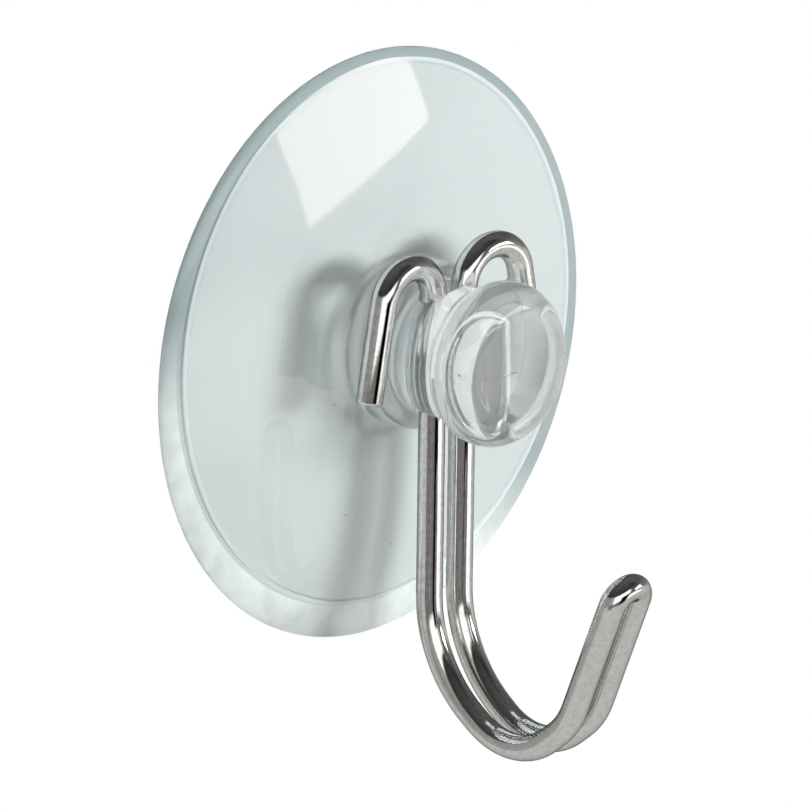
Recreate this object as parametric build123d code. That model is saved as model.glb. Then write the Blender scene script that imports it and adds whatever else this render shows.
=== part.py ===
from build123d import *

import math
import os

# Suction cup hook: a soft clear PVC cup, moulded in one piece with a collar, a slotted
# neck and a round knob, and one plated steel wire bent double, whose two strands pass down
# through the slot. All lengths are millimetres.
#
# Frame: the origin is the centre of the cup's rim, on the wall face. +Y goes into the wall,
# the cup's front faces -Y, +Z is up and +X is right, seen from the front.
# "Out" below means the distance from the wall, along -Y.

# Cup disc
cup_radius = 22.45
rim_thickness = 0.4
rim_chamfer = 0.15
front_rise = 3.6            # top of the domed front at the middle, out from the wall
seal_width = 2.0            # flat ring that seals on the wall
seal_step = 0.3             # how far the hollow starts behind the sealing ring
step_run = 0.25
middle_thickness = 1.5      # wall of the disc at the middle

# Collar, neck and knob, on an axis a little above the middle of the disc
knob_rise = 1.0
collar_radius = 6.4
collar_height = 2.7         # above the middle of the domed front
collar_fillet = 0.5
collar_round = 0.6
neck_radius = 5.0
groove_width = 4.3          # from the collar to the knob
knob_radius = 6.2
knob_thickness = 4.5
knob_edge_radius = 2.15
knob_crown = 0.2            # how far the flat front of the knob is domed
slot_clearance = 0.08       # around the two strands, in the neck

# Wire hook
wire_diameter = 2.0
strand_half_spacing = 1.63  # from the middle plane to each strand, at the neck
tip_half_spacing = 1.4      # the same from the J to the hairpin tip
shank_out_top = 7.9         # the strands lean a little towards the wall going down
shank_out_bottom = 7.38
arch_top = 8.25             # height of the arches' centreline
arch_half_span = 6.9        # from the middle plane to the corner of the outer legs
arch_out = 8.2              # distance of the outer legs from the wall, at the arches
leg_end = (8.75, 8.1, -1.2)  # free end: half span, distance from the wall, height
first_corner = -23.0        # heights and distances from the wall of the hook's corners
first_bend = 10.3
second_corner = (16.0, -29.1)
second_bend = 5.75
third_corner = (21.4, -24.65)
third_bend = 6.0
tip_centre = (25.5, -14.6)
end_chamfer = 0.2

WALL_AXIS = Axis((0, 0, 0), (0, 1, 0))


def section_plane(height):
    """A plane whose local x is the radius and whose local y is the distance out."""
    return Plane(origin=(0, 0, height), x_dir=(1, 0, 0), z_dir=(0, 0, -1))


def disc():
    """The domed disc with its flat sealing ring and shallow hollow."""
    face_radius = cup_radius - rim_chamfer
    edge_thickness = rim_thickness - rim_chamfer
    seal_radius = cup_radius - seal_width
    hollow_radius = seal_radius - step_run
    hollow_depth = front_rise - middle_thickness
    outline = [
        TangentArc((0, front_rise), (face_radius, rim_thickness), tangent=(1, 0)),
        Line((face_radius, rim_thickness), (cup_radius, edge_thickness)),
        Line((cup_radius, edge_thickness), (cup_radius, 0)),
        Line((cup_radius, 0), (seal_radius, 0)),
        Line((seal_radius, 0), (hollow_radius, seal_step)),
        TangentArc((0, hollow_depth), (hollow_radius, seal_step), tangent=(1, 0)),
        Line((0, hollow_depth), (0, front_rise)),
    ]
    return revolve(section_plane(0) * make_face(outline), WALL_AXIS)


def knob_plane(out):
    """A plane across the knob's axis: local x is right and local y is up."""
    return Plane(origin=(0, -out, knob_rise), x_dir=(1, 0, 0), z_dir=(0, -1, 0))


def collar():
    """The round collar that carries the neck, sunk into the disc's wall."""
    base = front_rise - middle_thickness / 2
    height = collar_front() - base
    solid = extrude(knob_plane(base) * Circle(collar_radius), height)
    return fillet(solid.edges().group_by(Axis.Y)[0], collar_round)


def collar_front():
    """Distance of the collar's front face from the wall."""
    return front_rise + collar_height


def neck():
    """The round neck from inside the collar to inside the knob."""
    start = collar_front() - collar_height / 2
    stop = knob_back() + knob_thickness / 2
    return extrude(knob_plane(start) * Circle(neck_radius), stop - start)


def knob_back():
    """Distance of the knob's back face from the wall."""
    return collar_front() + groove_width


def knob():
    """The round knob: full round edge and a slightly domed front face."""
    back = knob_back()
    front = back + knob_thickness
    face_radius = knob_radius - knob_edge_radius
    diagonal = knob_edge_radius * math.sqrt(0.5)
    outline = [
        Line((0, back), (face_radius, back)),
        ThreePointArc(
            (face_radius, back),
            (face_radius + diagonal, back + knob_edge_radius - diagonal),
            (knob_radius, back + knob_edge_radius),
        ),
        Line((knob_radius, back + knob_edge_radius), (knob_radius, front - knob_edge_radius)),
        ThreePointArc(
            (knob_radius, front - knob_edge_radius),
            (face_radius + diagonal, front - knob_edge_radius + diagonal),
            (face_radius, front),
        ),
        TangentArc((0, front + knob_crown), (face_radius, front), tangent=(1, 0)),
        Line((0, front + knob_crown), (0, back)),
    ]
    return revolve(
        section_plane(knob_rise) * make_face(outline), Axis((0, 0, knob_rise), (0, 1, 0))
    )


def shank_out(height):
    """Distance of the straight strands from the wall at a height."""
    share = (height - first_corner) / (arch_top - first_corner)
    return shank_out_bottom + share * (shank_out_top - shank_out_bottom)


def slot():
    """The upright slot through the neck that the two strands pass."""
    top = knob_rise + neck_radius
    bottom = knob_rise - neck_radius
    lean = abs(shank_out(top) - shank_out(bottom))
    depth = wire_diameter + lean + 2 * slot_clearance
    width = 2 * strand_half_spacing + wire_diameter + 2 * slot_clearance
    middle = shank_out(knob_rise)
    section = Plane((0, -middle, bottom - 1)) * SlotOverall(width, depth)
    return extrude(section, top - bottom + 2)


def suction_cup():
    """The whole moulding."""
    plate, pad = disc(), collar()
    carrier = plate + pad
    carrier = fillet(new_edges(plate, pad, combined=carrier), collar_fillet)
    return carrier + neck() + knob() - slot()


def wire_hook():
    """The wire: free end, arch, strand, hook, hairpin tip, and the same back again."""
    side = strand_half_spacing
    outer = Vector(arch_half_span, -arch_out, arch_top)
    end = Vector(leg_end[0], -leg_end[1], leg_end[2])
    turn = math.radians((outer - end).get_angle(Vector(-1, 0, 0)))
    arch_bend = 0.98 * (arch_half_span - side) / (1 + math.tan(turn / 2))
    points = [
        leg_end,
        (arch_half_span, arch_out, arch_top),
        (side, shank_out_top, arch_top),
        (side, shank_out_bottom, first_corner),
        (tip_half_spacing, *second_corner),
        (tip_half_spacing, *third_corner),
        (tip_half_spacing, *tip_centre),
    ]
    radii = [arch_bend, arch_bend, first_bend, second_bend, third_bend]
    strand = FilletPolyline([Vector(x, -out, z) for x, out, z in points], radius=radii)
    other = mirror(strand, about=Plane.YZ)
    arm = Vector(0, third_corner[0] - tip_centre[0], tip_centre[1] - third_corner[1])
    apex = Vector(0, -tip_centre[0], tip_centre[1]) + arm.normalized() * tip_half_spacing
    tip = ThreePointArc(strand @ 1, apex, other @ 1)
    path = Wire([*strand.edges(), tip, *other.edges()])
    start = Plane(origin=path @ 0, z_dir=path % 0)
    wire = sweep(start * Circle(wire_diameter / 2), path=path)
    ends = wire.faces().filter_by(GeomType.PLANE)
    return chamfer(ends.edges(), end_chamfer)


os.makedirs("parts", exist_ok=True)
export_step(suction_cup(), "parts/suction_cup.step")
export_step(wire_hook(), "parts/wire_hook.step")
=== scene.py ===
import math

import bmesh
import bpy
from bpy.props import FloatProperty, FloatVectorProperty, IntProperty, PointerProperty
from mathutils import Matrix, Quaternion, Vector


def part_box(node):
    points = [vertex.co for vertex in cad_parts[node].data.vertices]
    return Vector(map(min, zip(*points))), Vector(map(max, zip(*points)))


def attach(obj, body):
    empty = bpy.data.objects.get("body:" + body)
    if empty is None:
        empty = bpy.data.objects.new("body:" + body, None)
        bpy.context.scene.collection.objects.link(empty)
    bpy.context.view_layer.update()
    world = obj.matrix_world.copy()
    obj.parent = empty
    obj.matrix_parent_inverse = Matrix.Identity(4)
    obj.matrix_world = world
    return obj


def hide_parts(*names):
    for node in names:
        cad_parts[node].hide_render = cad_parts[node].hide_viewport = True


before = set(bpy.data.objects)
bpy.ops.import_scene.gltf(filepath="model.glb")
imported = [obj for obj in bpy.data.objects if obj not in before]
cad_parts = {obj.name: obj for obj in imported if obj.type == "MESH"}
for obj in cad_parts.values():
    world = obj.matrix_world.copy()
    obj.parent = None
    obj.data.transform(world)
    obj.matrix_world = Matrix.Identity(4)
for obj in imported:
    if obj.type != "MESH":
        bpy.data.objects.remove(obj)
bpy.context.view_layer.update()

bl_info = {
    "name": "Suction cup hook",
    "version": (1, 0, 0),
    "blender": (4, 5, 0),
    "location": "3D View > Sidebar > Suction cup hook",
    "description": "A clear suction cup with a knob and a bright wire hook, before a white backdrop",
    "category": "Add Mesh",
}

CUP_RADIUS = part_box("suction_cup")[1].x
MM = 0.001
QUARTER = math.pi / 2
SAME_PLACE = 1e-6          # points closer than this are one point
ARCH_FILL = 0.98           # share of an arch's span that its two bends take
BEND_STEP = math.radians(4)
SHARP_ON_CUP = math.radians(40)
SHARP_ON_WIRE = math.radians(50)
FACES_WALL = 0.3           # a face whose normal has a y above this looks at the wall
FACES_FRONT = -0.8         # and one with a y below this looks to the front

# Node kinds
MATH = "ShaderNodeMath"
VECTOR_MATH = "ShaderNodeVectorMath"
MAP_RANGE = "ShaderNodeMapRange"
MIX_COLOUR = "ShaderNodeMixRGB"
MIX_SHADER = "ShaderNodeMixShader"
NOISE = "ShaderNodeTexNoise"
BUMP = "ShaderNodeBump"
PRINCIPLED = "ShaderNodeBsdfPrincipled"
EMISSION = "ShaderNodeEmission"
BACKGROUND = "ShaderNodeBackground"
LIGHT_PATH = "ShaderNodeLightPath"
OUTPUT = "ShaderNodeOutputMaterial"

# Finishes of the cup, in the order of its materials; the last is a painted highlight line
CLEAR, MILKY, PALE_HIGHLIGHT = range(3)

# The lower left of the lip carries wear marks and is also painted lighter there, as painted light.
WORN_AND_LIT_WAY = (-0.45, 0, -0.89)            # towards the worn lower left of the lip
SPECK_COLOUR = (0.12, 0.13, 0.13, 1)
SPECK_SIZE = 0.022                      # share of a cell
SQUARE_LIGHT = (0.98, 0.985, 0.985, 1)  # what is left of light that meets the plastic squarely
SLANTED_LIGHT = (0.1, 0.11, 0.12, 1)    # and of light that meets it at a slant

WHITE = (1, 1, 1, 1)
FLOOR_PAINT = (0.8, 0.8, 0.79, 1)
FLOOR_MIRRORED = (0.56, 0.57, 0.555, 1)
WORLD_FILL = (0.05, 0.051, 0.052, 1)

# What clear plastic shows of the room before it: seen straight, by way of a mirroring
# surface, and after more than three passes through the plastic
SEEN_STRAIGHT = (0.95, 0.97, 0.97, 1)
SEEN_MIRRORED = (0.78, 0.8, 0.8, 1)
SEEN_DEEP = (0.02, 0.02, 0.02, 1)

# What bright metal mirrors: upright panels side by side, each a stack of bands. A band is
# its elevation in degrees and its grey. A panel has the azimuth where it starts, in degrees
# to the right of straight ahead. The room behind the cup lies before the first panel.
BACK = [(-90, 0.36), (-20, 0.38), (0, 0.35), (22, 0.3), (28, 0.05), (90, 0.1)]
WINDOW = [(6, 1.5), (20, 1.5), (25, 0.03), (90, 0.1)]
DARK_TOP = [(27, 0.04), (90, 0.1)]
PANELS = [
    (-118, [(-90, 0.34), (-27, 0.3), (-22, 0.55), (-13, 0.55), (-9, 0.3), (22, 0.3), *DARK_TOP]),
    (-86, [(-90, 0.34), (-34, 0.3), (-26, 0.19), (-9, 0.19), (-5, 0.35), (22, 0.4), *DARK_TOP]),
    (-62, [(-90, 0.34), (-34, 0.3), (-26, 0.19), (-9, 0.17), (-6, 1.3), *WINDOW]),
    (-20, [(-90, 0.34), (-27, 0.3), (-21, 0.0), (2, 0.0), *WINDOW]),
    (12, [
        (-90, 0.36), (-26, 0.48), (-19, 1.4), (-11, 1.4), (-4, 0.15), (25, 0.1), (40, 0.03), (90, 0.1),
    ]),
    (50, [(-90, 0.42), (-30, 0.42), (-24, 0.6), (-1, 0.6), (3, 0.26), (30, 0.1), (90, 0.1)]),
    (135, BACK),
]
PANEL_BLEND = 4  # degrees to each side of a panel's start


def length(name, description, default):
    """A size in metres, with its default given in millimetres."""
    return FloatProperty(
        name=name, description=description, default=default * MM, unit="LENGTH", precision=5
    )


def spot(name, description, *default):
    """A place in metres, with its default given in millimetres."""
    return FloatVectorProperty(
        name=name, description=description, size=len(default), unit="LENGTH", precision=5,
        default=[value * MM for value in default],
    )


def angle(name, description, degrees):
    """An angle, with its default given in degrees."""
    return FloatProperty(
        name=name, description=description, default=math.radians(degrees), subtype="ANGLE"
    )


def tint(name, description, *default):
    """A colour."""
    return FloatVectorProperty(
        name=name, description=description, default=default, subtype="COLOR", size=3
    )


class CupSizes(bpy.types.PropertyGroup):
    """Sizes and colours of the clear moulding."""

    radius: FloatProperty(
        name="Cup radius", description="From the axis to the rim", default=CUP_RADIUS, unit="LENGTH"
    )
    rim: length("Rim thickness", "Of the dome at the rim, before the lip takes its edge off", 0.4)
    lip_width: length("Lip width", "Outer band whose front rolls over to the wall", 1.7)
    lip_foot: length("Lip foot", "Upright edge that is left at the rim", 0.06)
    lip_lean: angle("Lip lean", "Slope where the lip's roll tightens", 29.0)
    rise: length("Front rise", "Top of the domed front, out from the wall", 3.6)
    seal_width: length("Seal width", "Flat ring that seals on the wall", 2.0)
    seal_rise: length("Seal rise", "How far the lip's and the seal's circles sit above the rim's", 1.0)
    seal_step: length("Seal step", "Depth of the step behind the ring", 0.3)
    step_run: length("Step run", "Width of the step behind the ring", 0.25)
    middle: length("Middle thickness", "Wall of the disc at its middle", 1.5)
    knob_rise: length("Knob rise", "Height of the knob's axis over the disc's", 1.0)
    collar_radius: length("Collar radius", "Round collar under the neck", 6.4)
    collar_height: length("Collar height", "Above the middle of the domed front", 2.7)
    collar_fillet: length("Collar fillet", "Between the disc and the collar", 0.5)
    collar_round: length("Collar round", "Rounding of the collar's front edge", 0.6)
    neck_radius: length("Neck radius", "Between the collar and the knob", 5.0)
    groove: length("Groove width", "From the collar to the knob", 4.3)
    corner_fillet: length("Corner fillet", "Where the neck meets collar and knob", 0.35)
    knob_radius: length("Knob radius", "Largest radius of the knob", 6.2)
    knob_thickness: length("Knob thickness", "Along its axis", 4.5)
    knob_edge: length("Knob edge", "Full round of the knob's edge", 2.15)
    knob_crown: length("Knob crown", "Dome of the knob's front face", 0.2)
    shift_fade: length("Shift fade", "Radius at which the dome is back on the disc's axis", 14.0)
    parting_line: length("Parting line", "Height of the fine line that the mould leaves", 0.03)
    slot_clearance: length("Slot clearance", "Around the two strands", 0.08)
    # The pale line is a painted highlight: a paler, less clear band just inside the lip.
    line_width: length("Line width", "Pale line just inside the lip", 0.3)
    # The lip's painted shade fades in over twice this width.
    lip_shade_blend: length("Lip blend", "Half the width over which the lip's colour begins", 0.05)
    # The wear marks grow towards the lower left, where they also paint light onto the lip.
    wear_and_light_start: length("Wear start", "How far to the lower left the worn marks begin", 4.0)
    wear_and_light_full: length("Wear full", "How far to the lower left they are at their strongest", 11.0)
    steps: IntProperty(name="Steps", description="Steps of the full turn", default=192, min=24)
    colour: tint("Plastic colour", "Clear plastic", 0.93, 0.955, 0.955)
    milky_colour: tint("Wall side colour", "Faintly milky wall side", 0.55, 0.595, 0.595)
    # The lip colour is painted shade: the rolled edge is drawn darker where its light is bent away.
    painted_lip_shade: tint("Lip colour", "Darker outer band", 0.4, 0.48, 0.49)
    # The scuff colour is wear on the lip and also painted light at its lower left.
    scuff_and_light_colour: tint("Scuff colour", "Worn marks on the lip", 0.86, 0.895, 0.885)
    # The line colour is a painted highlight.
    highlight_line_colour: tint("Line colour", "Pale line inside the lip", 0.94, 1.0, 1.0)


class WireSizes(bpy.types.PropertyGroup):
    """Sizes of the wire hook. Its corners are those of its centreline, before they are bent."""

    diameter: length("Wire diameter", "Plated steel wire", 2.0)
    half_spacing: length("Half spacing", "From the middle to each strand, at the neck", 1.63)
    tip_half_spacing: length("Tip half spacing", "The same from the J to the hairpin tip", 1.4)
    leg_end: spot("Leg end", "Free end: half span, way out from the wall, height", 8.75, 8.1, -1.2)
    arch_half_span: length("Arch half span", "From the middle to the corner of the outer legs", 6.9)
    arch_out: length("Arch out", "Way out of the outer legs at the arches", 8.2)
    arch_top: length("Arch top", "Height of the arches' corners", 8.25)
    shank_out: length("Shank out", "Way out of the strands at the arches", 7.9)
    first_corner: spot("First corner", "Foot of the strands: way out, height", 7.38, -23.0)
    second_corner: spot("Second corner", "Bottom of the J: way out, height", 16.0, -29.1)
    third_corner: spot("Third corner", "Foot of the arm: way out, height", 21.4, -24.65)
    tip_centre: spot("Tip centre", "Centre of the hairpin: way out, height", 25.5, -14.6)
    first_bend: length("First bend", "Radius at the first corner", 10.3)
    second_bend: length("Second bend", "Radius at the second corner", 5.75)
    third_bend: length("Third bend", "Radius at the third corner", 6.0)
    end_round: length("End round", "Rounding of the two cut ends", 0.25)
    sides: IntProperty(name="Sides", description="Sides of the wire's section", default=40, min=8)
    colour: tint("Plating colour", "Bright plating", 0.86, 0.85, 0.83)


class StageSizes(bpy.types.PropertyGroup):
    """Floor and camera."""

    floor: length("Floor size", "Side of the square floor", 1000.0)
    floor_drop: length("Floor drop", "Floor below the cup's axis", 250.0)
    distance: length("Camera distance", "From the cup's origin", 600.0)
    azimuth: angle("Azimuth", "Camera to the left of straight ahead", 46.25)
    elevation: angle("Elevation", "Camera above the level", 16.46)
    lens: FloatProperty(name="Lens", description="Focal length on 36 mm", default=357.9)
    shift_x: FloatProperty(name="Shift X", description="Share of the frame", default=0.0409)
    shift_y: FloatProperty(name="Shift Y", description="Share of the frame", default=-0.0769)


def new_piece(name, bm):
    """Makes a bmesh an object at the origin, with smooth faces."""
    mesh = bpy.data.meshes.new(name)
    bm.to_mesh(mesh)
    bm.free()
    mesh.shade_smooth()
    piece = bpy.data.objects.new(name, mesh)
    bpy.context.scene.collection.objects.link(piece)
    return piece


class Pen:
    """Draws an outline in the XY plane of a bmesh: x is the radius and -y the way out."""

    def __init__(self, bm, x, out):
        self.bm = bm
        self.tip = bm.verts.new((x, -out, 0))
        self.drawn = [self.tip]

    def line(self, x, out, steps=1):
        """Goes straight to a point."""
        start, end = self.tip.co.copy(), Vector((x, -out, 0))
        for step in range(steps):
            made = bmesh.ops.extrude_vert_indiv(self.bm, verts=[self.tip])
            self.tip = made["verts"][0]
            self.tip.co = start.lerp(end, (step + 1) / steps)
            self.drawn.append(self.tip)

    def arc(self, x, out, turn, steps):
        """Turns about a centre: a positive turn goes from the front round to the side."""
        for _ in range(steps):
            made = bmesh.ops.spin(
                self.bm, geom=[self.tip], cent=(x, -out, 0), axis=(0, 0, 1), angle=turn / steps, steps=1
            )
            self.tip = next(v for v in made["geom_last"] if isinstance(v, bmesh.types.BMVert))
            self.drawn.append(self.tip)

    def taken(self):
        """Hands over what was drawn since the last call. A new point copies the marks of the
        point before it, so each stretch is marked after it is drawn."""
        drawn, self.drawn = self.drawn, []
        return drawn


def dome_radius(half_width, height):
    """Radius of a cap of that half width and height."""
    return (half_width**2 + height**2) / (2 * height)


def eased(share):
    """Keeps a share between 0 and 1, with a soft start and end."""
    share = min(max(share, 0), 1)
    return share * share * (3 - 2 * share)


def draw_knob(pen, cup, back):
    """The knob's crown, its round edge, and the fillet that leads over to the neck."""
    front = back + cup.knob_thickness
    face = cup.knob_radius - cup.knob_edge
    crown = dome_radius(face, cup.knob_crown)
    pen.arc(0, front + cup.knob_crown - crown, math.asin(face / crown), steps=12)
    pen.arc(face, front - cup.knob_edge, QUARTER, steps=18)
    pen.line(cup.knob_radius, back + cup.knob_edge, steps=2)
    centres = cup.knob_edge + cup.corner_fillet
    neck_lean = math.asin((cup.neck_radius + cup.corner_fillet - face) / centres)
    pen.arc(face, back + cup.knob_edge, QUARTER - neck_lean, steps=14)
    fillet_out = back + cup.knob_edge - centres * math.cos(neck_lean)
    pen.arc(cup.neck_radius + cup.corner_fillet, fillet_out, neck_lean - QUARTER, steps=5)


def draw_collar(pen, cup, front):
    """The neck, the fillet at its foot, and the collar's front with its round edge."""
    fillet_centre = cup.neck_radius + cup.corner_fillet
    pen.line(cup.neck_radius, front + cup.corner_fillet, steps=10)
    pen.arc(fillet_centre, front + cup.corner_fillet, -QUARTER, steps=5)
    round_centre = cup.collar_radius - cup.collar_round
    pen.line(round_centre, front, steps=2)
    pen.arc(round_centre, front - cup.collar_round, QUARTER, steps=8)


def draw_lip(pen, cup, start):
    """Rolls the front over at the rim: a wide turn to the lip's lean, and then a tight one.
    The two radii are those that bring it to the rim's edge in the lip's width."""
    drop = -pen.tip.co.y - cup.lip_foot
    wide_across = math.sin(cup.lip_lean) - math.sin(start)
    wide_down = math.cos(start) - math.cos(cup.lip_lean)
    tight_across, tight_down = 1 - math.sin(cup.lip_lean), math.cos(cup.lip_lean)
    scale = wide_across * tight_down - tight_across * wide_down
    wide = (cup.lip_width * tight_down - drop * tight_across) / scale
    tight = (drop * wide_across - cup.lip_width * wide_down) / scale
    for radius, lean, until, steps in ((wide, start, cup.lip_lean, 7), (tight, cup.lip_lean, QUARTER, 5)):
        x, out = pen.tip.co.x - radius * math.sin(lean), -pen.tip.co.y - radius * math.cos(lean)
        pen.arc(x, out, until - lean, steps)
    pen.line(cup.radius, 0)


def draw_back(pen, cup):
    """The flat sealing ring, the step behind it and the domed hollow."""
    pen.line(cup.radius - cup.seal_width, 0, steps=6)
    hollow_radius = cup.radius - cup.seal_width - cup.step_run
    pen.line(hollow_radius, cup.seal_step, steps=2)
    depth = cup.rise - cup.middle
    hollow = dome_radius(hollow_radius, depth - cup.seal_step)
    pen.arc(0, depth - hollow, -math.asin(hollow_radius / hollow), steps=40)


def cup_outline(bm, cup):
    """Draws the section from the knob's front to the back of the disc. Each point is marked
    with its share of the knob's rise, and with how closely it keeps to the dome when it is
    raised. Returns the dome's radius and the two marks."""
    shift, foot = bm.verts.layers.float.new("shift"), bm.verts.layers.float.new("foot")
    collar_front = cup.rise + cup.collar_height
    back = collar_front + cup.groove
    pen = Pen(bm, 0, back + cup.knob_thickness + cup.knob_crown)
    draw_knob(pen, cup, back)
    draw_collar(pen, cup, collar_front)
    dome = dome_radius(cup.radius, cup.rise - cup.rim)
    reach = cup.collar_radius + cup.collar_fillet
    foot_lean = math.asin(reach / (dome + cup.collar_fillet))
    fillet_out = cup.rise - dome + (dome + cup.collar_fillet) * math.cos(foot_lean)
    pen.line(cup.collar_radius, fillet_out, steps=4)
    for vert in pen.taken():
        vert[shift] = 1
    pen.arc(reach, fillet_out, foot_lean - QUARTER, steps=8)
    fillet = pen.taken()
    for place, vert in enumerate(fillet):
        vert[shift] = 1
        vert[foot] = (place + 1) / len(fillet)
    rim_lean = math.asin((cup.radius - cup.lip_width) / dome)
    pen.arc(0, cup.rise - dome, rim_lean - foot_lean, steps=48)
    for vert in pen.taken():
        vert[shift] = eased((cup.shift_fade - vert.co.x) / (cup.shift_fade - reach))
        vert[foot] = 1
    draw_lip(pen, cup, rim_lean)
    for vert in pen.taken():
        vert[foot] = 1
    draw_back(pen, cup)
    for vert in pen.taken():
        vert[foot] = 0
    return dome, shift, foot


def ring_share(cup, reach):
    """How much of the seal's rise a point takes: all of it where the lip starts, and less and
    less towards the rim and the middle."""
    lip_start = cup.radius - cup.lip_width
    if reach > lip_start:
        return max(cup.radius - reach, 0) / cup.lip_width
    return eased((reach - cup.shift_fade) / (lip_start - cup.shift_fade))


def cup_mesh(cup):
    """The whole moulding as one closed skin, without its slot."""
    bm = bmesh.new()
    dome, shift, foot = cup_outline(bm, cup)
    bmesh.ops.spin(
        bm, geom=bm.verts[:] + bm.edges[:], cent=(0, 0, 0), axis=(0, 1, 0),
        angle=math.tau, steps=cup.steps, use_merge=True,
    )
    bmesh.ops.remove_doubles(bm, verts=bm.verts[:], dist=SAME_PLACE)
    bmesh.ops.recalc_face_normals(bm, faces=bm.faces[:])
    bm.normal_update()
    for vert in bm.verts:
        centred = math.hypot(vert.co.x, vert.co.z)
        above_disc = vert[shift] > 0.99 and vert[foot] < 0.01
        if above_disc and abs(vert.co.z) < SAME_PLACE < centred:
            vert.co += vert.normal * cup.parting_line
        vert.co.z += vert[shift] * cup.knob_rise + ring_share(cup, centred) * cup.seal_rise
        moved = math.hypot(vert.co.x, vert.co.z)
        if vert[foot] > 0:
            sag = math.sqrt(dome**2 - centred**2) - math.sqrt(dome**2 - moved**2)
            vert.co.y += vert[foot] * sag
    return bm


def slot_cutter(cup, wire):
    """The upright rounded slot that the two strands pass. It runs out of the neck at both ends."""
    corners = route(wire)
    overrun = 1.0 * MM
    top, bottom = cup.knob_rise + cup.neck_radius, cup.knob_rise - cup.neck_radius
    lean = abs(way_out(corners, top) - way_out(corners, bottom))
    half_depth = wire.diameter / 2 + lean / 2 + cup.slot_clearance
    half_width = wire.half_spacing + wire.diameter / 2 + cup.slot_clearance
    bm = bmesh.new()
    ring = bmesh.ops.create_circle(bm, cap_ends=True, segments=64, radius=half_depth)["verts"]
    for vert in ring:
        if abs(vert.co.x) > SAME_PLACE:
            vert.co.x += math.copysign(half_width - half_depth, vert.co.x)
    middle = Vector((0, -way_out(corners, cup.knob_rise), bottom - overrun))
    bmesh.ops.translate(bm, verts=ring, vec=middle)
    top_face = bmesh.ops.extrude_face_region(bm, geom=bm.faces[:])["geom"]
    raised = [v for v in top_face if isinstance(v, bmesh.types.BMVert)]
    bmesh.ops.translate(bm, verts=raised, vec=(0, 0, top - bottom + 2 * overrun))
    bmesh.ops.recalc_face_normals(bm, faces=bm.faces[:])
    return new_piece("slot_cutter", bm)


def carve(piece, cutter):
    """Takes the cutter out of the piece for good."""
    modifier = piece.modifiers.new("slot", "BOOLEAN")
    modifier.operation = "DIFFERENCE"
    modifier.solver = "EXACT"
    modifier.object = cutter
    bpy.context.view_layer.update()
    carved = bpy.data.meshes.new_from_object(
        piece.evaluated_get(bpy.context.evaluated_depsgraph_get())
    )
    piece.modifiers.clear()
    piece.data = carved
    bpy.data.objects.remove(cutter)


def route(wire):
    """Corners of one side of the wire, from its free end to the centre of the hairpin."""
    side, tip = wire.half_spacing, wire.tip_half_spacing
    places = [
        wire.leg_end,
        (wire.arch_half_span, wire.arch_out, wire.arch_top),
        (side, wire.shank_out, wire.arch_top),
        (side, *wire.first_corner),
        (tip, *wire.second_corner),
        (tip, *wire.third_corner),
        (tip, *wire.tip_centre),
    ]
    return [Vector((x, -out, z)) for x, out, z in places]


def bends(wire, corners):
    """Bend radii of the five corners. The two bends of the arch share its span."""
    turn = (corners[1] - corners[0]).angle(corners[2] - corners[1])
    arch = ARCH_FILL * (corners[1] - corners[2]).length / (1 + math.tan(turn / 2))
    return [arch, arch, wire.first_bend, wire.second_bend, wire.third_bend]


def way_out(corners, height):
    """Distance of the straight strands from the wall at a height."""
    top, bottom = corners[2], corners[3]
    share = (height - bottom.z) / (top.z - bottom.z)
    return -(bottom.y + share * (top.y - bottom.y))


class Drawing:
    """Draws a wire: a ring of edges that is pushed on and turned. It marks each point with its
    place round the wire and how far along it is, in millimetres, for the drawn lines."""

    def __init__(self, bm, start, heading, radius, sides, end_round):
        self.bm = bm
        self.mark = bm.verts.layers.float_vector.new("drawn")
        self.far = 0
        lay = heading.to_track_quat("Z", "Y").to_matrix().to_4x4()
        made = bmesh.ops.create_circle(
            bm, cap_ends=True, segments=sides, radius=radius - end_round,
            matrix=Matrix.Translation(start) @ lay,
        )
        for place, vert in enumerate(made["verts"]):
            turn = math.tau * place / sides
            vert[self.mark] = (math.cos(turn), math.sin(turn), 0)
        self.ring = bm.edges[:]
        self.round_end(heading, radius, end_round, steps=4)

    def round_end(self, heading, radius, end_round, steps):
        """Widens the ring to the wire's full radius in a quarter round."""
        for step in range(steps):
            last, now = QUARTER * step / steps, QUARTER * (step + 1) / steps
            before, after = (radius - end_round * (1 - math.sin(turn)) for turn in (last, now))
            self.push(heading * end_round * (math.cos(last) - math.cos(now)), after / before)

    def grown(self, parts, distance):
        """Takes the new ring over from what an operator made, and marks its points."""
        self.far += distance
        self.ring = [e for e in parts if isinstance(e, bmesh.types.BMEdge)]
        verts = {v for e in self.ring for v in e.verts}
        for vert in verts:
            around = vert[self.mark]
            vert[self.mark] = (around[0], around[1], self.far / MM)
        return list(verts)

    def push(self, step, widen=1):
        """Goes straight on by a step, and widens the ring if asked to."""
        made = bmesh.ops.extrude_edge_only(self.bm, edges=self.ring)["geom"]
        verts = self.grown(made, step.length)
        bmesh.ops.translate(self.bm, verts=verts, vec=step)
        if widen != 1:
            middle = sum((v.co for v in verts), Vector()) / len(verts)
            bmesh.ops.scale(
                self.bm, verts=verts, vec=(widen, widen, widen), space=Matrix.Translation(-middle)
            )

    def bend(self, centre, axis, turn, radius, steps):
        """Turns the ring about an axis."""
        for _ in range(steps):
            made = bmesh.ops.spin(
                self.bm, geom=self.ring, cent=centre, axis=axis, angle=turn / steps, steps=1
            )["geom_last"]
            self.grown(made, radius * turn / steps)


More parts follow.
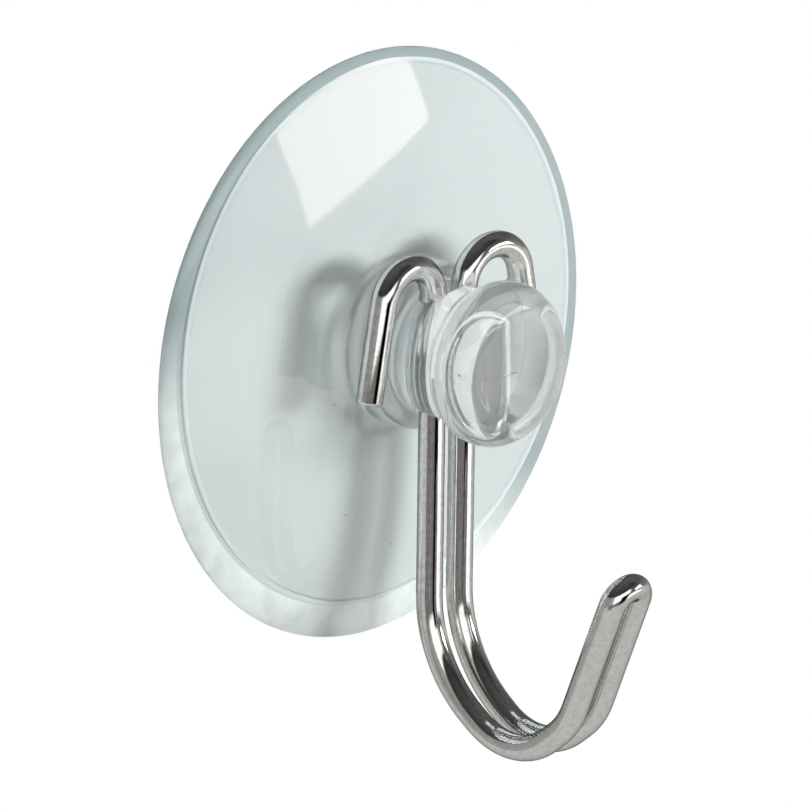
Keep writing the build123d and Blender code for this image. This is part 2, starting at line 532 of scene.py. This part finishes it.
def wire_mesh(wire):
    """One side of the wire up to the middle of the hairpin, and its mirror image."""
    corners = route(wire)
    bm = bmesh.new()
    here = corners[0]
    heading = (corners[1] - here).normalized()
    drawing = Drawing(bm, here, heading, wire.diameter / 2, wire.sides, wire.end_round)
    here = here + heading * wire.end_round
    for corner, following, radius in zip(corners[1:-1], corners[2:], bends(wire, corners)):
        leaving = (following - corner).normalized()
        turn = heading.angle(leaving)
        start = corner - heading * radius * math.tan(turn / 2)
        drawing.push(start - here)
        axis = heading.cross(leaving).normalized()
        centre = start + axis.cross(heading) * radius
        drawing.bend(centre, axis, turn, radius, steps=math.ceil(turn / BEND_STEP))
        here = corner + leaving * radius * math.tan(turn / 2)
        heading = leaving
    drawing.push(corners[-1] - here)
    tip = corners[-1].copy()
    tip.x = 0
    axis = heading.cross(Vector((-1, 0, 0)))
    drawing.bend(tip, axis, QUARTER, wire.tip_half_spacing, steps=20)
    everything = bm.verts[:] + bm.edges[:] + bm.faces[:]
    bmesh.ops.mirror(bm, geom=everything, axis="X", merge_dist=SAME_PLACE)
    bmesh.ops.recalc_face_normals(bm, faces=bm.faces[:])
    return bm


def material(name):
    """A new material with an empty node tree."""
    made = bpy.data.materials.new(name)
    made.use_nodes = True
    tree = made.node_tree
    tree.nodes.clear()
    return made, tree


def node(tree, kind, place, *sources, **values):
    """Adds a node. Sources feed its first sockets in order, and values its settings and its
    other sockets by name. A socket takes a number, a colour, or a link from another socket."""
    made = tree.nodes.new(kind)
    made.location = place
    feeds = []
    for key, value in values.items():
        if hasattr(made, key):
            setattr(made, key, value)
        else:
            feeds.append((value, made.inputs[key.replace("_", " ")]))
    feeds.extend(zip(sources, made.inputs))
    for source, socket in feeds:
        if isinstance(source, bpy.types.NodeSocket):
            tree.links.new(source, socket)
        else:
            socket.default_value = source
    return made


def result(tree, kind, place, *sources, output=0, **values):
    """Adds a node as node() does, and returns one of its outputs: the first, unless named."""
    return node(tree, kind, place, *sources, **values).outputs[output]


def lip_shade_mask(tree, place, cup):
    """Where the lip's painted shade goes: 1 on the lip, whose circle sits above the rim's, and 0 inside
    it.
    """
    flat = result(
        tree, VECTOR_MATH, (-2000, 300), place, (1, 0, 1), (0, 0, -cup.seal_rise),
        operation="MULTIPLY_ADD",
    )
    reach = result(tree, VECTOR_MATH, (-1800, 300), flat, operation="LENGTH", output="Value")
    start = cup.radius - cup.lip_width
    return result(
        tree, MAP_RANGE, (-1600, 300), reach, start - cup.lip_shade_blend, start + cup.lip_shade_blend
    )


def wear_and_light_mask(tree, place, cup):
    """Cloudy wear marks, stronger towards the lower left, where they also paint light that lifts the
    lip's painted shade.
    """
    along = result(
        tree, VECTOR_MATH, (-2000, 600), place, WORN_AND_LIT_WAY, operation="DOT_PRODUCT", output="Value"
    )
    near = result(tree, MAP_RANGE, (-1800, 600), along, cup.wear_and_light_start, cup.wear_and_light_full)
    clouds = result(tree, NOISE, (-1800, 900), place, Scale=500.0, Detail=4.0, Roughness=0.7)
    marks = result(tree, MAP_RANGE, (-1600, 900), clouds, 0.38, 0.55, To_Min=0.72)
    return result(tree, MATH, (-1400, 750), near, marks, operation="MULTIPLY")


def surface_with_lip_shade(cup):
    """Node group: the colour inside the lip's circle, the lip's painted shade, wear marks on the lip that
    also paint light onto its lower left, small dark specks, and the height of the moulding's faint waves."""
    tree = bpy.data.node_groups.new("surface_with_lip_shade", "ShaderNodeTree")
    # Lip takes the lip's painted shade, and Scuffs the wear marks that also paint light at its lower
    # left.
    for name in ("Inside", "Lip", "Scuffs"):
        tree.interface.new_socket(name=name, in_out="INPUT", socket_type="NodeSocketColor")
    tree.interface.new_socket(name="Color", in_out="OUTPUT", socket_type="NodeSocketColor")
    tree.interface.new_socket(name="Height", in_out="OUTPUT", socket_type="NodeSocketFloat")
    given = node(tree, "NodeGroupInput", (-600, 0)).outputs
    place = result(tree, "ShaderNodeTexCoord", (-2200, 300), output="Object")
    # Wear marks, whose growth towards the lower left is painted light.
    worn_and_lit = wear_and_light_mask(tree, place, cup)
    painted_lip_shade = result(tree, MIX_COLOUR, (-300, 400), worn_and_lit, given["Lip"], given["Scuffs"])
    # The lip's painted shade, laid over the inside colour.
    on_lip_shade = lip_shade_mask(tree, place, cup)
    shade = result(tree, MIX_COLOUR, (0, 200), on_lip_shade, given["Inside"], painted_lip_shade)
    cells = result(tree, "ShaderNodeTexVoronoi", (-600, -300), place, Scale=190.0)
    speck = result(tree, MATH, (-400, -300), cells, SPECK_SIZE, operation="LESS_THAN")
    speckled = result(tree, MIX_COLOUR, (300, 100), speck, shade, SPECK_COLOUR)
    waves = result(tree, NOISE, (0, -300), place, Scale=120.0, Detail=2.0)
    node(tree, "NodeGroupOutput", (600, 0), speckled, waves)
    return tree


def soft_pvc(name, surface, shades, clearness, roughness):
    """Soft plastic: a lower clearness makes it milky. Light that makes shadows passes it where
    it meets it squarely, and is dimmed where it meets it at a slant."""
    made, tree = material(name)
    # lip is the lip's painted shade, and scuffs the wear marks that also paint light at its lower left.
    inside, lip, scuffs = ((*shade, 1) for shade in shades)
    moulded = node(
        tree, "ShaderNodeGroup", (-300, 0), node_tree=surface, Inside=inside, Lip=lip, Scuffs=scuffs
    ).outputs
    bump = result(tree, BUMP, (0, -100), Strength=0.2, Distance=0.0001, Height=moulded["Height"])
    plastic = result(
        tree, PRINCIPLED, (300, 200), Base_Color=moulded["Color"], Roughness=roughness, IOR=1.53,
        Transmission_Weight=clearness, Normal=bump,
    )
    facing = result(tree, "ShaderNodeLayerWeight", (-200, -350), Blend=0.5, output="Facing")
    slanted = result(tree, MAP_RANGE, (0, -350), facing, 0.18, 0.5)
    dimming = result(tree, MIX_COLOUR, (250, -350), slanted, SQUARE_LIGHT, SLANTED_LIGHT)
    passing = result(tree, "ShaderNodeBsdfTransparent", (450, -300), dimming)
    shadow = result(tree, LIGHT_PATH, (0, 600), output="Is Shadow Ray")
    mix = result(tree, MIX_SHADER, (700, 0), shadow, plastic, passing)
    node(tree, OUTPUT, (900, 0), mix)
    return made


def finish_of(face, cup):
    """Which finish a face of the cup takes: clear, the milky wall side, or the pale line, which is a
    painted highlight.
    """
    if face.normal.y > FACES_WALL and face.center.y > -cup.rise:
        return MILKY
    reach = math.hypot(face.center.x, face.center.z - cup.seal_rise)
    lip_start = cup.radius - cup.lip_width
    if lip_start - cup.line_width < reach < lip_start and face.normal.y < FACES_FRONT:
        return PALE_HIGHLIGHT
    return CLEAR


def bright_wire(wire):
    """Bright plating on drawn wire: fine lines along it, faint dents and a faint mottle."""
    made, tree = material("bright_wire")
    along = result(tree, "ShaderNodeAttribute", (-900, 0), attribute_name="drawn", output="Vector")
    stretched = result(tree, "ShaderNodeMapping", (-700, 200), along, Scale=(2.5, 2.5, 0.12))
    lines = result(tree, NOISE, (-450, 200), stretched, Scale=3.0, Detail=1.0)
    mottle = result(tree, NOISE, (-450, -100), along, Scale=2.6, Detail=6.0, Roughness=0.65)
    shades = node(tree, "ShaderNodeValToRGB", (-200, -100), mottle)
    dull, bright = shades.color_ramp.elements
    dull.position, bright.position = 0.3, 0.6
    dull.color = (*(0.8 * value for value in wire.colour), 1)
    bright.color = (*wire.colour, 1)
    gloss = result(tree, MAP_RANGE, (-200, 250), lines, To_Min=0.08, To_Max=0.11)
    drawn = result(tree, BUMP, (300, -200), Strength=0.04, Distance=0.00005, Height=lines)
    dents = result(tree, NOISE, (300, -450), along, Scale=0.9, Detail=1.0)
    dented = result(
        tree, BUMP, (600, -200), Strength=0.06, Distance=0.00004, Height=dents, Normal=drawn
    )
    metal = result(
        tree, PRINCIPLED, (900, 0), Base_Color=shades.outputs["Color"], Metallic=1.0, Roughness=gloss,
        IOR=2.5, Specular_Tint=(0.3, 0.3, 0.3, 1), Normal=dented,
    )
    node(tree, OUTPUT, (1200, 0), metal)
    return made


def seen_through_glass(tree, rays):
    """1 for a ray that left clear plastic and that no dull surface sent out."""
    direct = result(tree, MATH, (100, 800), rays["Diffuse Depth"], 0.5, operation="LESS_THAN")
    through = rays["Is Transmission Ray"]
    return result(tree, MATH, (200, 650), through, direct, operation="MULTIPLY")


def floor_white():
    """Pale floor: white to the camera and behind glass, grey in reflections, and else lit paint."""
    made, tree = material("floor_white")
    rays = node(tree, LIGHT_PATH, (0, 500)).outputs
    paint = result(tree, "ShaderNodeBsdfDiffuse", (0, 0), FLOOR_PAINT)
    grey = result(tree, EMISSION, (0, -150), FLOOR_MIRRORED)
    white = result(tree, EMISSION, (0, -300), WHITE)
    lit = result(tree, MIX_SHADER, (300, 0), rays["Is Glossy Ray"], paint, grey)
    glass = seen_through_glass(tree, rays)
    seen = result(tree, MATH, (300, 300), rays["Is Camera Ray"], glass, operation="MAXIMUM")
    mix = result(tree, MIX_SHADER, (600, 0), seen, lit, white)
    node(tree, OUTPUT, (900, 0), mix)
    return made


def toward(azimuth, elevation):
    """A direction out from the wall: azimuth to the left of straight ahead, and elevation up."""
    level = math.cos(elevation)
    return Vector((-math.sin(azimuth) * level, -math.cos(azimuth) * level, math.sin(elevation)))


def lamp(name, rays, azimuth, elevation, distance, size, power, roll=0, colour=(1, 1, 1)):
    """A rectangular light, which only the named rays meet. Its azimuth in degrees goes to the
    right of straight ahead, and its distance and size are metres."""
    light = bpy.data.lights.new(name, "AREA")
    light.shape = "RECTANGLE"
    light.size, light.size_y = size
    light.energy = power
    light.color = colour
    made = bpy.data.objects.new(name, light)
    way = toward(-math.radians(azimuth), math.radians(elevation))
    made.location = way * distance
    turned = way.to_track_quat("Z", "Y") @ Quaternion((0, 0, 1), math.radians(roll))
    made.rotation_euler = turned.to_euler()
    made.visible_camera = False
    made.visible_transmission = False
    made.visible_diffuse = rays == "diffuse"
    made.visible_glossy = rays == "glossy"
    bpy.context.scene.collection.objects.link(made)


def lamps():
    """The window's highlight on the plastic, and soft light from the front, below and behind."""
    lamp(
        "softbox", "glossy", azimuth=39, elevation=6.5, distance=0.45, size=(0.173, 0.092),
        power=0.205, roll=13, colour=(1.0, 0.89, 0.83),
    )
    lamp("key", "diffuse", azimuth=20, elevation=10, distance=0.5, size=(0.2, 0.1), power=2.35)
    lamp("low_fill", "diffuse", azimuth=-10, elevation=-40, distance=0.5, size=(0.3, 0.3), power=0.5)
    lamp(
        "wall_side_fill", "diffuse", azimuth=180, elevation=20, distance=0.5, size=(0.4, 0.4),
        power=2.4,
    )


def by_elevation(tree, height, place, bands):
    """A grey for each elevation, from straight down to straight up."""
    share = result(tree, MAP_RANGE, place, height, -QUARTER, QUARTER)
    ramp = node(tree, "ShaderNodeValToRGB", (place[0] + 200, place[1]), share)
    stops = ramp.color_ramp.elements
    while len(stops) < len(bands):
        stops.new(0.5)
    for stop, (degrees, grey) in zip(stops, bands):
        stop.position = (degrees + 90) / 180
        stop.color = (grey, grey * 0.995, grey * 0.98, 1)
    return ramp.outputs["Color"]


def room_colours(tree, way):
    """What bright metal mirrors in each direction."""
    ahead = result(tree, MATH, (-1800, 150), way["Y"], -1, operation="MULTIPLY")
    azimuth = result(tree, MATH, (-1600, 150), way["X"], ahead, operation="ARCTAN2")
    height = result(tree, MATH, (-1800, -100), way["Z"], operation="ARCSINE")
    colour = by_elevation(tree, height, (-1400, 0), BACK)
    for row, (start, bands) in enumerate(PANELS, 1):
        level = -400 * row
        panel = by_elevation(tree, height, (-1400, level), bands)
        low, high = math.radians(start - PANEL_BLEND), math.radians(start + PANEL_BLEND)
        begun = result(tree, MAP_RANGE, (-900, level + 200), azimuth, low, high)
        colour = result(tree, MIX_COLOUR, (-700 + 150 * row, level), begun, colour, panel)
    return colour


def before_glass(tree, rays):
    """What clear plastic shows of the room before it."""
    mirrored = result(tree, MATH, (-200, -600), rays["Glossy Depth"], 0.5, operation="GREATER_THAN")
    near = result(tree, MIX_COLOUR, (0, -600), mirrored, SEEN_STRAIGHT, SEEN_MIRRORED)
    deep = result(
        tree, MATH, (-200, -800), rays["Transmission Depth"], 3.5, operation="GREATER_THAN"
    )
    return result(tree, MIX_COLOUR, (0, -800), deep, near, SEEN_DEEP)


def surroundings(scene):
    """World: white to the camera and behind glass, and elsewhere the panelled room."""
    world = bpy.data.worlds.new("room")
    scene.world = world
    world.use_nodes = True
    tree = world.node_tree
    tree.nodes.clear()
    rays = node(tree, LIGHT_PATH, (0, 300)).outputs
    looking = result(tree, "ShaderNodeTexCoord", (-2200, 0), output="Generated")
    way = node(tree, "ShaderNodeSeparateXYZ", (-2000, 0), looking).outputs
    white = result(tree, BACKGROUND, (300, 200), WHITE)
    fill = result(tree, BACKGROUND, (300, -100), WORLD_FILL)
    room = result(tree, BACKGROUND, (300, -300), room_colours(tree, way))
    front = result(tree, BACKGROUND, (300, -500), before_glass(tree, rays))
    glossy = result(tree, MIX_SHADER, (550, -150), rays["Is Glossy Ray"], fill, room)
    glass = seen_through_glass(tree, rays)
    unseen = result(tree, MIX_SHADER, (700, -300), glass, glossy, front)
    behind = result(tree, MAP_RANGE, (0, 700), way["Y"], -0.1, 0.3)
    through = rays["Is Transmission Ray"]
    clear = result(tree, MATH, (200, 700), behind, through, operation="MULTIPLY")
    seen = result(tree, MATH, (400, 500), rays["Is Camera Ray"], clear, operation="MAXIMUM")
    mix = result(tree, MIX_SHADER, (700, 0), seen, unseen, white)
    node(tree, "ShaderNodeOutputWorld", (900, 0), mix)


class HOOK_OT_cup(bpy.types.Operator):
    """Make the clear suction cup with its collar, neck and knob"""

    bl_idname = "hook.cup"
    bl_label = "Suction cup"

    def execute(self, context):
        cup, wire = context.scene.hook_cup, context.scene.hook_wire
        piece = new_piece("cup_moulding", cup_mesh(cup))
        carve(piece, slot_cutter(cup, wire))
        piece.data.shade_smooth()
        piece.data.set_sharp_from_angle(angle=SHARP_ON_CUP)
        piece.data.materials.clear()
        surface = surface_with_lip_shade(cup)
        # The clear front takes painted shade on its lip; the milky wall side keeps its own colour there.
        clear = (cup.colour, cup.painted_lip_shade, cup.scuff_and_light_colour)
        milky = (cup.milky_colour, cup.milky_colour, cup.scuff_and_light_colour)
        # The pale line is a painted highlight.
        pale = (cup.highlight_line_colour, cup.highlight_line_colour, cup.highlight_line_colour)
        for made in (
            soft_pvc("clear_pvc", surface, clear, clearness=0.9, roughness=0.05),
            soft_pvc("milky_pvc", surface, milky, clearness=0.12, roughness=0.15),
            soft_pvc("pale_highlight_pvc", surface, pale, clearness=0.55, roughness=0.1),
        ):
            piece.data.materials.append(made)
        for face in piece.data.polygons:
            face.material_index = finish_of(face, cup)
        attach(piece, "root")
        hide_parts("suction_cup")
        return {"FINISHED"}


class HOOK_OT_wire(bpy.types.Operator):
    """Make the bent wire hook with its two arches and hairpin tip"""

    bl_idname = "hook.wire"
    bl_label = "Wire hook"

    def execute(self, context):
        wire = context.scene.hook_wire
        piece = new_piece("bent_wire", wire_mesh(wire))
        piece.data.set_sharp_from_angle(angle=SHARP_ON_WIRE)
        piece.data.materials.append(bright_wire(wire))
        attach(piece, "root")
        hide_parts("wire_hook")
        return {"FINISHED"}


class HOOK_OT_stage(bpy.types.Operator):
    """Make the pale floor, the lights and the camera"""

    bl_idname = "hook.stage"
    bl_label = "Stage"

    def execute(self, context):
        stage, scene = context.scene.hook_stage, context.scene
        bm = bmesh.new()
        place = Matrix.Translation((0, 0, -stage.floor_drop))
        bmesh.ops.create_grid(bm, x_segments=1, y_segments=1, size=stage.floor / 2, matrix=place)
        floor = new_piece("floor", bm)
        floor.data.materials.append(floor_white())
        lamps()
        surroundings(scene)
        scene.view_settings.view_transform = "Standard"
        camera = bpy.data.cameras.new("camera")
        camera.lens = stage.lens
        camera.sensor_width = 36
        camera.shift_x, camera.shift_y = stage.shift_x, stage.shift_y
        camera.clip_start, camera.clip_end = 0.01, 10
        way = toward(stage.azimuth, stage.elevation)
        eye = bpy.data.objects.new("camera", camera)
        eye.location = way * stage.distance
        eye.rotation_euler = way.to_track_quat("Z", "Y").to_euler()
        scene.collection.objects.link(eye)
        scene.camera = eye
        return {"FINISHED"}


class HOOK_PT_panel(bpy.types.Panel):
    """Lists the pieces"""

    bl_idname = "HOOK_PT_panel"
    bl_label = "Suction cup hook"
    bl_space_type = "VIEW_3D"
    bl_region_type = "UI"
    bl_category = "Suction cup hook"

    def draw(self, context):
        for operator in (HOOK_OT_cup, HOOK_OT_wire, HOOK_OT_stage):
            self.layout.operator(operator.bl_idname)


CLASSES = (CupSizes, WireSizes, StageSizes, HOOK_OT_cup, HOOK_OT_wire, HOOK_OT_stage, HOOK_PT_panel)


def register():
    for kind in CLASSES:
        bpy.utils.register_class(kind)
    bpy.types.Scene.hook_cup = PointerProperty(type=CupSizes)
    bpy.types.Scene.hook_wire = PointerProperty(type=WireSizes)
    bpy.types.Scene.hook_stage = PointerProperty(type=StageSizes)


def unregister():
    del bpy.types.Scene.hook_stage, bpy.types.Scene.hook_wire, bpy.types.Scene.hook_cup
    for kind in reversed(CLASSES):
        bpy.utils.unregister_class(kind)


def main():
    """Makes the whole scene."""
    register()
    bpy.ops.hook.cup()
    bpy.ops.hook.wire()
    bpy.ops.hook.stage()


if __name__ == "__main__":
    main()
